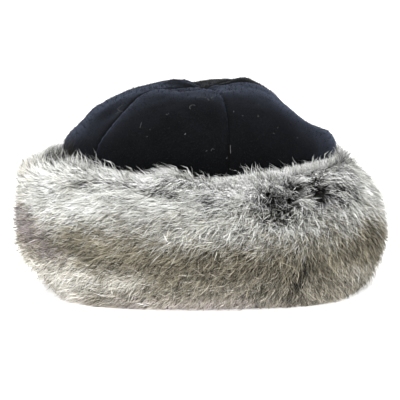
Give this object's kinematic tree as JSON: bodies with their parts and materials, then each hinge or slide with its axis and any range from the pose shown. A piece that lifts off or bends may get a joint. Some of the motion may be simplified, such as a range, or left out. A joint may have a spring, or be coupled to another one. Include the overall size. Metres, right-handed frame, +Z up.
{
  "type": "fleece hat with a fur cuff",
  "caption": "Soft winter hat: a round, slightly sunken fleece crown of sewn gores standing in a deep turned-up cuff of long fur.",
  "frame": {"origin": "centre of the footprint, on the surface that the hat rests on", "axes": "+Z up through the crown, -Y to the front, +X to the right of someone who faces the front of the hat"},
  "size_m": [0.2592, 0.265, 0.1466],
  "materials": {
    "fleece": "matt brushed fleece, near black with a navy cast",
    "fur": "long soft fur, silver white at the top and grey beige below, with dark roots"
  },
  "bodies": {
    "root": {"crown_gore_1": "fleece", "crown_gore_2": "fleece", "crown_gore_3": "fleece", "crown_gore_4": "fleece", "crown_gore_5": "fleece", "crown_gore_6": "fleece", "fur_cuff": "fur"}
  },
  "joints": []
}
